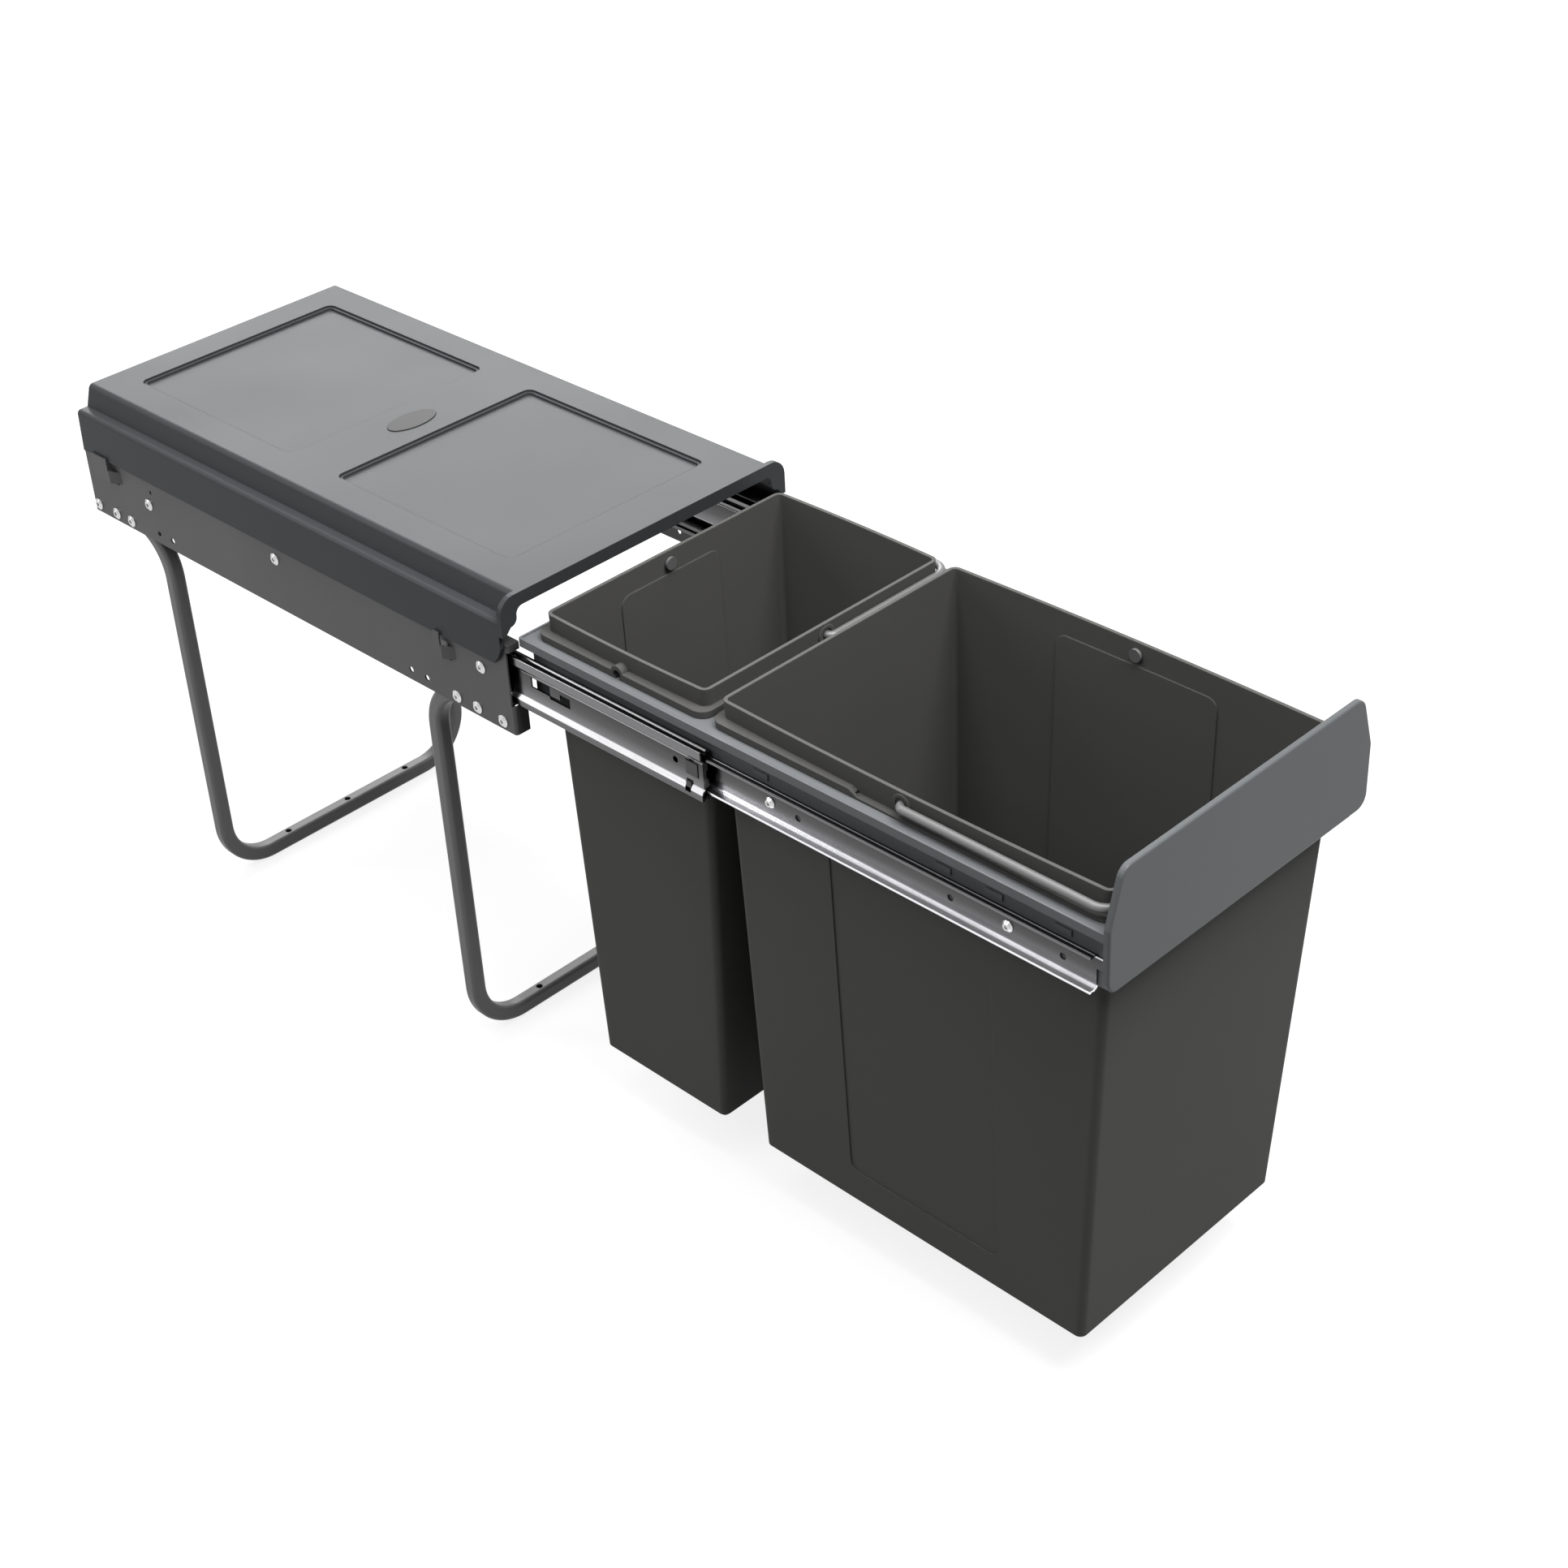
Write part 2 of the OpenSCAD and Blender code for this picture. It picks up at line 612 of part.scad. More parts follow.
// Carrier: a moulded frame with an opening for each bin

opening_gap = 1;
small_opening = [-wall_in, wall_in, small_y0 - opening_gap, small_y1 + opening_gap];
large_opening = [-wall_in, wall_in, large_y0 - opening_gap, large_y1 + opening_gap];
ledge_t = 2.5;
carrier_z = ledge_z - carrier_depth;
bar_depth = 22;
edge_w = 1.6;
edge_h = 1;
carrier_r = 1.8;
opening_r = 9;
tab_ys = [for (s = [0.043, 0.1599, 0.2506, 0.5943]) drawer_rail_l * s];
tab_l = 12;
tab_t = 0.9;
tab_z = 2.2;
tab_h = 4;
panel_screw_x = panel_x * 0.7;
panel_screw_rise = 12;

module carrier_frame() color("slategray") pulled() {
    outer = [-ledge_x, ledge_x, panel_back, carrier_rear];
    walls = [-wall_out, wall_out, panel_back, carrier_rear - carrier_wall];
    difference() {
        union() {
            // ledge with its raised edge and its skirt
            translate([0, 0, ledge_z - ledge_t]) linear_extrude(ledge_t) carrier_outline(outer);
            translate([0, 0, ledge_z - carrier_skirt]) linear_extrude(carrier_skirt + edge_h) difference() {
                carrier_outline(outer);
                carrier_outline(grown(outer, -edge_w));
            }
            // walls round the openings
            translate([0, 0, carrier_z]) linear_extrude(carrier_depth) round_rect(walls, carrier_wall / 2);
        }
        translate([0, 0, ledge_z]) linear_extrude(cut + edge_h) translate([0, panel_back - cut - edge_w])
            square([2 * (ledge_x - edge_w), 2 * (edge_w + cut)], center = true);
        translate([0, 0, carrier_z - cut]) linear_extrude(carrier_depth + edge_h + 2 * cut) {
            round_rect(small_opening, opening_r);
            round_rect(large_opening, opening_r);
        }
        // hollows under the rear, middle and front bars
        for (b = [[large_opening[3], small_opening[2]], [small_opening[3], carrier_rear - carrier_wall]])
            translate([0, 0, carrier_z - cut]) linear_extrude(carrier_depth - ledge_t + cut)
                rect([-wall_in, wall_in, b[0] + carrier_wall, b[1] - carrier_wall]);
        // the cross walls are shallower than the side walls
        translate([-wall_in, panel_back + 2 * front_clear, carrier_z - cut])
            cube([2 * wall_in, carrier_rear - panel_back, carrier_depth - bar_depth + cut]);
        for (s = [-1, 1]) rod_y(panel_back - cut, large_opening[2] + cut, s * panel_screw_x,
            panel_z + panel_screw_rise, screw_d + 2 * fit);
        on_both_sides() for (y = rail_screw_ys)
            rod_x(-wall_out - cut, -wall_in + cut, rail_front + y, slide_z, screw_d + 2 * fit);
    }
    // tabs over the drawer rails
    tab_z0 = slide_z + drawer_track_v + tab_z;
    on_both_sides() for (y = tab_ys) along_x(-wall_out - tab_t, -wall_out + tab_t)
        rect([rail_front + y, rail_front + y + tab_l, tab_z0, tab_z0 + tab_h]);
}

module carrier_outline(b) {
    round_rect(b, carrier_r);
    rect([b[0], b[1], b[2], b[2] + 2 * carrier_r]);
}

// Front panel, tapered above its kink. Its outline comes at any inset, for the rounded edges.
panel_drop = 39;
panel_z = ledge_z - panel_drop;
panel_kink = 43.5;
panel_taper = 8.5;
panel_r = 9;
panel_edge = 1.2;
function panel_half(d) = let (
        x0 = panel_x - d,
        x1 = panel_x - panel_taper - d,
        z0 = panel_z + d,
        z1 = panel_z + panel_h - d,
        r = panel_r - d,
        a = atan(panel_taper / (panel_h - panel_kink))
    ) concat(
        arc([x0 - r, z0 + r], r, -90, 0),
        [[x0, panel_z + panel_kink]],
        arc([x1 - r, z1 - r], r, a, 90)
    );
module panel_outline(d) polygon(concat(panel_half(d), flipped(panel_half(d))));

module front_panel() color("slategray") pulled() difference() {
    hull() {
        along_y(panel_back - panel_t + panel_edge, panel_back) panel_outline(0);
        along_y(panel_back - panel_t + panel_edge / 3, panel_back) panel_outline(panel_edge / 3);
        along_y(panel_back - panel_t, panel_back) panel_outline(panel_edge);
    }
    for (s = [-1, 1]) rod_y(panel_back - panel_t / 2, panel_back + cut, s * panel_screw_x,
        panel_z + panel_screw_rise, screw_d + 2 * fit);
}

module panel_screws() color("silver") pulled() for (s = [-1, 1])
    translate([s * panel_screw_x, large_opening[2], panel_z + panel_screw_rise]) rotate([90, 0, 0])
        button_screw(large_opening[2] - panel_back + panel_t / 2 - 2 * fit);

// Bins. A bin is given by the rectangle [x0, x1, y0, y1] of its rim.

side_taper = 9.8;
rear_taper = 5.7;
front_taper = 20.4;
rim_r = 5.6;
foot_r = 5;
flange_r = 9;
foot_edge = 2.5;
floor_t = 2.6;
skirt_t = 2;
low_flange_drop = 3.4;
low_flange_back = 31;
low_flange_ramp = 7;
handle_rise = 3.7;
wire_gap = 0.9;
handle_gap = wire_d / 2 + wire_gap;
handle_z = flange_top + handle_rise;
boss_d = 14;
boss_t = 0.8;
boss_edge = 0.4;
boss_hole_d = 9;
boss_hole_t = 0.6;
boss_sink = 1.2;
panel_in = 0.8;
wall_panel_r = 8;
wall_panel_top = 16;
wall_panel_low = 28;
wall_panel_share = 0.21;
arch_r = 5.2;
// The side walls bow outwards at the rim, by this share of their length, in whole tenths
bow_share = 0.008;
bow_steps = 8;

small_rim = [-bin_x, bin_x, small_y0, small_y1];
large_rim = [-bin_x, bin_x, large_y0, large_y1];
small_c = (small_y0 + small_y1) / 2;
large_c = (large_y0 + large_y1) / 2;
function foot_of(rim) = [rim[0] + side_taper, rim[1] - side_taper, rim[2] + front_taper, rim[3] - rear_taper];
function bow_of(rim) = round((rim[3] - rim[2]) * bow_share * 10) / 10;
function flange_of(rim) = [
    rim[0] - flange_w, rim[1] + flange_w, rim[2] - flange_end_w, rim[3] + flange_end_w
];
function wall_at(z, taper) = taper * (rim_z - z) / bin_h;

// A round rectangle whose two long sides bow outwards
function bowed_half(b, r, bow) = concat(
    arc([b[1] - r, b[2] + r], r, -90, 0),
    [for (i = [1:bow_steps - 1]) let (t = i / bow_steps)
        [b[1] + 4 * bow * t * (1 - t), b[2] + r + (b[3] - b[2] - 2 * r) * t]],
    arc([b[1] - r, b[3] - r], r, 0, 90)
);
module bowed(b, r, bow) polygon(concat(bowed_half(b, r, bow), flipped(bowed_half(b, r, bow))));

module level(b, r, bow, z) translate([0, 0, z]) linear_extrude(slice) bowed(b, r, bow);

// A bin's outer form, and its hollow, each at an inset of d
module bin_body(rim, d) {
    foot = grown(foot_of(rim), -d);
    hull() {
        level(grown(foot, -foot_edge), foot_r - foot_edge, 0, bin_z + d);
        level(foot, foot_r - d, 0, bin_z + foot_edge + d);
        level(grown(rim, -d), rim_r - d, bow_of(rim), rim_z - slice);
    }
}

module bin_cavity(rim, d) {
    foot = grown(foot_of(rim), -bin_wall - d);
    top = grown(rim, -bin_wall - d);
    r = foot_r - bin_wall / 2 - d;
    hull() {
        level(grown(foot, -foot_edge), r, 0, bin_z + floor_t);
        level(foot, r, 0, bin_z + floor_t + foot_edge);
        level(top, rim_r - bin_wall - d, bow_of(rim), rim_z);
    }
}

// The outline of the panels that are pressed into two walls, drawn for walls across the first axis
module wall_panel(c, half)
    round_rect([c - half, c + half, bin_z + wall_panel_low, rim_z - wall_panel_top], wall_panel_r);

// Joins the plain form outside the panels to the inset one inside them
module pressed() {
    difference() {
        children(0);
        children(2);
    }
    intersection() {
        children(1);
        children(2);
    }
}

module hollow_bin(rim) {
    difference() {
        pressed() {
            bin_body(rim, 0);
            bin_body(rim, panel_in);
            children(0);
        }
        pressed() {
            bin_cavity(rim, 0);
            bin_cavity(rim, panel_in);
            children(0);
        }
    }
}

// The flange: a plate round the rim with a skirt, less the hollow of the bin
module bin_flange(rim) difference() {
    outer = flange_of(rim);
    translate([0, 0, flange_z]) linear_extrude(flange_h) round_rect(outer, flange_r);
    translate([0, 0, flange_z - cut]) linear_extrude(flange_h - skirt_t + cut)
        round_rect(grown(outer, -skirt_t), flange_r - skirt_t);
    bin_body(rim, bin_wall / 2);
}

// The part of the flange that is low, for a handle that lies towards -Y from y = 0
module low_flange(rim) difference() {
    translate([0, 0, flange_z]) linear_extrude(flange_h - low_flange_drop)
        round_rect(flange_of(rim), flange_r);
    bin_body(rim, bin_wall / 2);
}

// What is taken off the flange there, with a ramp up to its full height
module low_side(reach, half) along_x(-half, half) polygon([
    [-reach, flange_top - low_flange_drop],
    [low_flange_back, flange_top - low_flange_drop],
    [low_flange_back + low_flange_ramp, flange_top],
    [low_flange_back + low_flange_ramp, flange_top + cut],
    [-reach, flange_top + cut]
]);

// A ring that stands out round the handle's pivot: drawn along Z from the wall's face at zero
module pivot_ring() rotate_extrude() polygon([
    [0, -boss_sink], [boss_d / 2, -boss_sink], [boss_d / 2, boss_t - boss_edge],
    [boss_d / 2 - boss_edge, boss_t], [boss_hole_d / 2, boss_t],
    [boss_hole_d / 2, boss_t - boss_hole_t], [0, boss_t - boss_hole_t]
]);

module small_bin() color("dimgray") pulled() {
    front = small_y0 + wall_at(handle_z, front_taper);
    rear = small_y1 - wall_at(handle_z, rear_taper);
    arch_z = flange_top - skirt_t;
    difference() {
        union() {
            hollow_bin(small_rim) along_y(small_y0 - flange_w, small_y1 + flange_w)
                wall_panel(0, 2 * bin_x * wall_panel_share);
            difference() {
                bin_flange(small_rim);
                translate([0, small_c, 0]) rotate([0, 0, 90]) low_side(2 * bin_x, small_bin_l);
            }
            intersection() {
                low_flange(small_rim);
                translate([-low_flange_back - low_flange_ramp, small_y0 - 2 * flange_w, flange_z - cut])
                    cube([2 * bin_x, 2 * small_bin_l, 2 * flange_h]);
            }
            // the arch over the flange on the side away from the handle
            intersection() {
                rod_x(-bin_x - flange_w, -bin_x + bin_wall / 2, small_c, arch_z + skirt_t / 2, 2 * arch_r);
                translate([-2 * bin_x, small_c - arch_r, flange_z]) cube([2 * bin_x, 2 * arch_r, 2 * arch_r]);
            }
            translate([0, front, handle_z]) rotate([90, 0, 0]) pivot_ring();
            translate([0, rear, handle_z]) rotate([-90, 0, 0]) pivot_ring();
        }
        rod_x(-bin_x - flange_w - cut, -bin_x - bin_wall, small_c, arch_z, 2 * (arch_r - skirt_t));
        rod_y(small_y0 - flange_w, small_y1 + flange_w, 0, handle_z, wire_d + 4 * fit);
    }
}

module large_bin() color("dimgray") pulled() {
    side = bin_x + bow_of(large_rim) - wall_at(handle_z, side_taper);
    low_end = large_c + low_flange_back + low_flange_ramp;
    difference() {
        union() {
            hollow_bin(large_rim) along_x(-bin_x - flange_w, bin_x + flange_w)
                wall_panel(large_c, large_bin_l * wall_panel_share);
            difference() {
                bin_flange(large_rim);
                translate([0, large_c, 0]) low_side(large_bin_l, 2 * bin_x);
            }
            intersection() {
                low_flange(large_rim);
                translate([-2 * bin_x, low_end - large_bin_l, flange_z - cut])
                    cube([4 * bin_x, large_bin_l, 2 * flange_h]);
            }
            on_both_sides() translate([-side, large_c, handle_z]) rotate([0, -90, 0]) pivot_ring();
        }
        rod_x(-2 * bin_x, 2 * bin_x, large_c, handle_z, wire_d + 4 * fit);
    }
}

// Wire handles. Drawn with the pivot axis along X through the origin and the bail lying to -Y.
wire_bend_r = 4;
bail_r = 12;
button_d = 9;
button_t = 2;
button_gap = 0.6;

module quarter_wire(r) rotate_extrude(angle = 90) translate([r, 0]) circle(d = wire_d);

module handle(half, reach, wall_in_x) on_both_sides() {
    rod_x(-half + wire_bend_r, -wall_in_x + button_gap + button_t / 2, 0, 0, wire_d);
    translate([-half + wire_bend_r, -wire_bend_r, 0]) rotate([0, 0, 90]) quarter_wire(wire_bend_r);
    rod_y(-reach + bail_r, -wire_bend_r, -half, 0, wire_d);
    translate([-half + bail_r, -reach + bail_r, 0]) rotate([0, 0, 180]) quarter_wire(bail_r);
    rod_x(-half + bail_r, 0, -reach, 0, wire_d);
    rod_x(-wall_in_x + button_gap, -wall_in_x + button_gap + button_t, 0, 0, button_d);
}

module large_bin_handle() color("gray") pulled() {
    half = bin_x + bow_of(large_rim);
    inner = half - wall_at(handle_z, side_taper) - bin_wall;
    translate([0, large_c, handle_z]) handle(half + handle_gap, large_bin_l / 2 + handle_gap, inner);
}

module small_bin_handle() color("gray") pulled() {
    inner = small_bin_l / 2 - wall_at(handle_z, front_taper) - bin_wall;
    translate([0, small_c, handle_z]) rotate([0, 0, 90])
        handle(small_bin_l / 2 + handle_gap, bin_x + bow_of(small_rim) + handle_gap, inner);
}

// Lid

lid_clear = 2;
band_h = 9.5;
band_t = 4;
lid_top = rim_z + lid_clear + band_h;
step_h = 16.5;
lid_ledge_z = lid_top - step_h;
lid_skirt_z = lid_ledge_z - skirt_h;
foot_inset = 9;
top_inset = 12.5;
crown_r = 4;
ledge_r = 3;
lid_slant = 3;

function lid_half(d) = let (
        foot_x = skirt_out - foot_inset - d,
        edge_x = skirt_out - top_inset - d,
        z1 = lid_top - d,
        z2 = lid_ledge_z - d,
        x3 = skirt_out - d,
        a = atan((top_inset - foot_inset) / step_h)
    ) concat(
        arc([edge_x - crown_r + d, z1 - crown_r + d], crown_r - d, 90, a),
        [[foot_x, z2]],
        arc([x3 - ledge_r + d, z2 - ledge_r + d], max(ledge_r - d, slice), 90, 0),
        [[x3, lid_skirt_z - (d > 0 ? cut : 0)]]
    );
module lid_profile(d) polygon(concat(lid_half(d), flipped(lid_half(d))));

// The band across the lid's front, with its opening for the bins
band_r = 12;
band_side = 13;
band_side_h = 19;
band_corner_r = 5.5;
module lid_band() difference() {
    polygon(concat(
        arc([skirt_out - band_r, lid_top - band_r], band_r, 90, 0),
        [[skirt_out, lid_top - band_side_h - 2 * band_t]],
        flipped([[skirt_out, lid_top - band_side_h - 2 * band_t]]),
        flipped(arc([skirt_out - band_r, lid_top - band_r], band_r, 90, 0))
    ));
    x = skirt_out - band_side;
    z = lid_top - band_h;
    half = concat(
        arc([x - band_corner_r, z - band_corner_r], band_corner_r, 90, 0),
        arc([x + band_corner_r, lid_top - band_side_h + band_corner_r / 2], band_corner_r, 180, 270),
        [[skirt_out - lid_wall, lid_top - band_side_h - 2 * band_t], [skirt_out - lid_wall, lid_skirt_z]]
    );
    polygon(concat(half, flipped(half)));
}

// Sunk fields of the lid as [x0, x1, y0, y1]
field_side = 40;
field_front = 36;
field_rear = 29.5;
field_middle = 51.5;
field_x = skirt_out - field_side;
field_l = (lid_rear - lid_front - field_front - field_rear - field_middle) / 2;
front_field = [-field_x, field_x, lid_front + field_front, lid_front + field_front + field_l];
rear_field = [-field_x, field_x, lid_rear - field_rear - field_l, lid_rear - field_rear];
field_step = 2.4;
field_corner = 6;
oval_a = 20.5;
oval_b = 11;
oval_depth = 0.5;
oval_y = (rear_field[2] + front_field[3]) / 2;

rib_count = 6;
rib_pitch = (lid_rear - lid_front - 2 * band_t) / rib_count;
rib_t = 2;
rib_gap = 0.8;

module lid() color("slategray") difference() {
    union() {
        along_y(lid_front + band_t, lid_rear) difference() {
            lid_profile(0);
            lid_profile(lid_wall);
        }
        along_y(lid_front, lid_front + band_t) lid_band();
        // rear wall
        along_y(lid_rear - lid_slant - lid_wall, lid_rear) intersection() {
            lid_profile(0);
            rect([-skirt_out, skirt_out, lid_ledge_z - lid_wall, lid_top]);
        }
        // thicker top under the sunk fields
        for (b = [rear_field, front_field]) translate([0, 0, lid_top - field_depth - lid_wall])
            linear_extrude(field_depth + lid_wall / 2)
                round_rect(grown(b, lid_wall), field_corner + lid_wall);
        // ribs that seat the lid on the side plates' top flanges
        on_both_sides() for (i = [0:rib_count - 1])
            translate([ledge_x + rib_gap, lid_front + band_t + rib_pitch * (i + 0.5), housing_top])
                cube([skirt_in - ledge_x - rib_gap + slice, rib_t, lid_ledge_z - lid_wall / 2 - housing_top]);
    }
    for (b = [rear_field, front_field]) {
        translate([0, 0, lid_top - field_depth / 2]) linear_extrude(field_depth) round_rect(b, field_corner);
        translate([0, 0, lid_top - field_depth]) linear_extrude(field_depth)
            round_rect(grown(b, -field_step), field_corner - field_step);
    }
    translate([0, oval_y, lid_top - oval_depth]) linear_extrude(oval_depth + cut)
        scale([oval_a, oval_b]) circle(1);
    // the skirt's slanted front corners and the lid's slanted rear
    along_x(-skirt_out - cut, skirt_out + cut) {
        polygon([
            [lid_front - cut, lid_skirt_z - cut], [lid_front - cut, lid_skirt_z + skirt_h * 0.65],
            [lid_front, lid_skirt_z + skirt_h * 0.65],
            [lid_front + skirt_h * 0.22, lid_skirt_z + skirt_h * 0.18],
            [lid_front + skirt_h * 0.36, lid_skirt_z], [lid_front + skirt_h * 0.36, lid_skirt_z - cut]
        ]);
        polygon([
            [lid_rear - lid_slant, lid_top + cut], [lid_rear - lid_slant, lid_top], [lid_rear, lid_skirt_z],
            [lid_rear + cut, lid_skirt_z], [lid_rear + cut, lid_top + cut]
        ]);
    }
}

lid();
left_housing();
right_housing();
front_floor_tube();
rear_floor_tube();
tube_rivets();
rail_rivets();
left_cabinet_rail();
right_cabinet_rail();
rail_bumpers();
outer_ball_cages();
outer_balls();
left_middle_rail();
right_middle_rail();
middle_rail_catches();
inner_ball_cages();
inner_balls();
left_drawer_rail();
right_drawer_rail();
rail_screws();
carrier_frame();
front_panel();
panel_screws();
small_bin();
small_bin_handle();
large_bin();
large_bin_handle();
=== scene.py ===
"""A pull-out waste unit with two bins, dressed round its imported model.

The camera stands where the photograph was taken from. Every piece of the model keeps its own solid
and gets its finish here, and one piece is new: the bare plate in the recess of the lid's top.
"""
import json
import math

import bpy
from mathutils import Matrix, Vector


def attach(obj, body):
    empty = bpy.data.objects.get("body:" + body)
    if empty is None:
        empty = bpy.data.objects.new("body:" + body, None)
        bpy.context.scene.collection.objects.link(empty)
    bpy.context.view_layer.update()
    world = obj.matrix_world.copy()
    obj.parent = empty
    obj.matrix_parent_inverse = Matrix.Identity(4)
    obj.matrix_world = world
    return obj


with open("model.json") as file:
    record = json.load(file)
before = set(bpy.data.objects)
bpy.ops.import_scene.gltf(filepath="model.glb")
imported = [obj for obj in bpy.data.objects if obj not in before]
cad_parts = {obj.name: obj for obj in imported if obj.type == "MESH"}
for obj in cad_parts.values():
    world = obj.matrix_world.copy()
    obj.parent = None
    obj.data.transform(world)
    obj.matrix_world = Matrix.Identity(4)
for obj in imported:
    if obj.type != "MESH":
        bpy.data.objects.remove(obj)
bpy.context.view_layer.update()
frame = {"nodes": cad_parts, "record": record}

MM = 0.001

# The camera of the photograph, from a perspective fit of the object's own edges. Its angles are the
# azimuth, the elevation and the roll, in degrees.
PHOTO_SIZE = 1932
SENSOR_MM = 36
FOCAL_PIXELS = 3329.66
CAMERA_PLACE_MM = (-1026.39, -1426.79, 1251.55)
CAMERA_ANGLES = (-44.0, 34.0, -3.0)
NEAREST_SEEN = 0.05

# The world is white where it is seen, and gives this much light
WORLD_LIGHT = 0.08
WHITE = (1, 1, 1, 1)

# The floor, and how bright it is seen at two distances from the object, in metres
FLOOR_SIZE = 16
FLOOR_DROP = 0.5 * MM
FLOOR_COLOUR = (0.2, 0.2, 0.2, 1)
FLOOR_GLOW = {"From Min": 0.7, "From Max": 2.2, "To Min": 0.84, "To Max": 1.0}

# Each softbox has a name, a place, the point it faces, its width and length, and its watts
SOFTBOXES = (
    ("overhead", (0.0, -0.3, 2.2), (0.0, -0.3, 0.2), (1.3, 2.2), 30),
    ("overhead_left", (-0.85, -0.3, 2.0), (0.0, -0.3, 0.2), (0.6, 2.0), 18),
    ("edge_strip", (-1.05, 0.9, 1.1), (-0.12, -0.3, 0.35), (0.3, 0.9), 6),
    ("back", (1.25, 1.5, 1.55), (0.0, -0.15, 0.4), (1.5, 1.3), 45),
    ("front", (0.15, -1.5, 2.3), (0.0, -0.4, 0.3), (1.2, 1.0), 55),
)

# The bare oval plate in the lid's top, in the shared frame. Its size is its two half axes and its
# thickness.
PLATE_Y = -4.75 * MM
PLATE_BOTTOM = 406.5 * MM
PLATE_SIZE = (20.4 * MM, 10.9 * MM, 1.1 * MM)
PLATE_SIDES = 128
PLATE_ROUNDING = 0.12 * MM
PLATE_ROUNDING_STEPS = 2

# The middle rails' lower edge and their height, in the shared frame
SLIDE_LOW = 327.0 * MM
SLIDE_HEIGHT = 36.5 * MM
# The slides' steel colour by height, from the middle rail's lower edge up to its upper edge: the
# bright bands are painted highlights along the ball tracks, the dark bands painted shade on the
# webs
SLIDE_PAINTED_HIGHLIGHTS_AND_SHADE = (
    (0.0, 0.1), (0.14, 0.12), (0.152, 0.8), (0.235, 0.8), (0.26, 0.18), (0.5, 0.08), (0.745, 0.05),
    (0.76, 0.6), (0.775, 0.6), (0.79, 0.16), (1.0, 0.16),
)
CAGE_LEVELS = ((0.0, 0.2), (1.0, 0.2))
ZINC_BLACK = (0, 0, 0)
ZINC_WHITE = (1, 1, 1.03)
# Roll marks are drawn out along the rails
ROLL_STRETCH = (1, 0.04, 1)

# Slight tints of the greys
NO_TINT = (1, 1, 1)
LID_TINT = (0.95, 1, 1.06)
CARRIER_TINT = (0.96, 1, 1.05)
PANEL_TINT = (0.93, 1, 1.03)
BIN_TINT = (1.01, 1, 0.97)

NOISE_MIDDLE = 0.5
EDGE_SAMPLES = 4
# The Mix node's colour sockets by their places, because its number sockets have the same names
MIX_LOW, MIX_HIGH, MIX_RESULT = 6, 7, 2


# Nodes

class Value:
    """An output socket. Sums, differences and products of it add Math nodes."""

    def __init__(self, tree, socket):
        self.tree = tree
        self.socket = socket

    def maths(self, operation, first, second):
        node = self.tree.nodes.new("ShaderNodeMath")
        node.operation = operation
        for place, term in zip(node.inputs, (first, second)):
            if isinstance(term, Value):
                self.tree.links.new(term.socket, place)
            else:
                place.default_value = term
        return Value(self.tree, node.outputs[0])

    def __add__(self, other):
        return self.maths("ADD", self, other)

    def __radd__(self, other):
        return self.maths("ADD", other, self)

    def __sub__(self, other):
        return self.maths("SUBTRACT", self, other)

    def __rsub__(self, other):
        return self.maths("SUBTRACT", other, self)

    def __mul__(self, other):
        return self.maths("MULTIPLY", self, other)

    def __rmul__(self, other):
        return self.maths("MULTIPLY", other, self)


class Nodes:
    """The nodes of a world or a material in the making."""

    def __init__(self, owner):
        owner.use_nodes = True
        self.tree = owner.node_tree
        self.tree.nodes.clear()

    def node(self, kind, settings=None, sockets=None, output=0):
        """Adds a node of that kind, makes its settings, then gives its sockets values or links."""
        node = self.tree.nodes.new("ShaderNode" + kind)
        for name, setting in (settings or {}).items():
            if name == "stops":
                ramp = node.color_ramp
                for i, (at, colour) in enumerate(setting):
                    stop = ramp.elements[i] if i < len(ramp.elements) else ramp.elements.new(at)
                    stop.position = at
                    stop.color = colour
            else:
                setattr(node, name, setting)
        for name, given in (sockets or {}).items():
            if isinstance(given, Value):
                self.tree.links.new(given.socket, node.inputs[name])
            else:
                node.inputs[name].default_value = given
        return Value(self.tree, node.outputs[output]) if node.outputs else None

    def seen_directly(self):
        """1 for rays that show the surroundings: from the camera, in gloss and through glass."""
        seen = self.node("LightPath", output="Is Camera Ray")
        for name in ("Is Glossy Ray", "Is Transmission Ray"):
            seen = seen.maths("MAXIMUM", seen, self.node("LightPath", output=name))
        return seen


class Finish(Nodes):
    """A material in the making, on Object coordinates."""

    def __init__(self, name):
        self.material = bpy.data.materials.new(name)
        super().__init__(self.material)
        self.place = self.node("TexCoord", output="Object")

    def grain(self, scale, detail, stretch=(1, 1, 1)):
        """Noise of that scale per metre, drawn out along the axes by stretch."""
        spread = self.node("Mapping", {}, {"Vector": self.place, "Scale": stretch})
        return self.node("TexNoise", {}, {"Vector": spread, "Scale": scale, "Detail": detail})

    def between(self, mask, low, high):
        """A colour that runs from low to high with the mask."""
        sockets = {"Factor": mask, MIX_LOW: (*low, 1), MIX_HIGH: (*high, 1)}
        return self.node("Mix", {"data_type": "RGBA"}, sockets, output=MIX_RESULT)

    def finish(self, surface, edge, bump=None):
        """The shader with its fixed numbers and links, on edges rounded by that many metres."""
        normal = self.node("Bevel", {"samples": EDGE_SAMPLES}, {"Radius": edge})
        if bump:
            normal = self.node("Bump", {}, {**bump, "Normal": normal})
        shader = self.node("BsdfPrincipled", {}, {**surface, "Normal": normal})
        self.node("OutputMaterial", {}, {"Surface": shader})
        return self.material


# Camera, light and surroundings

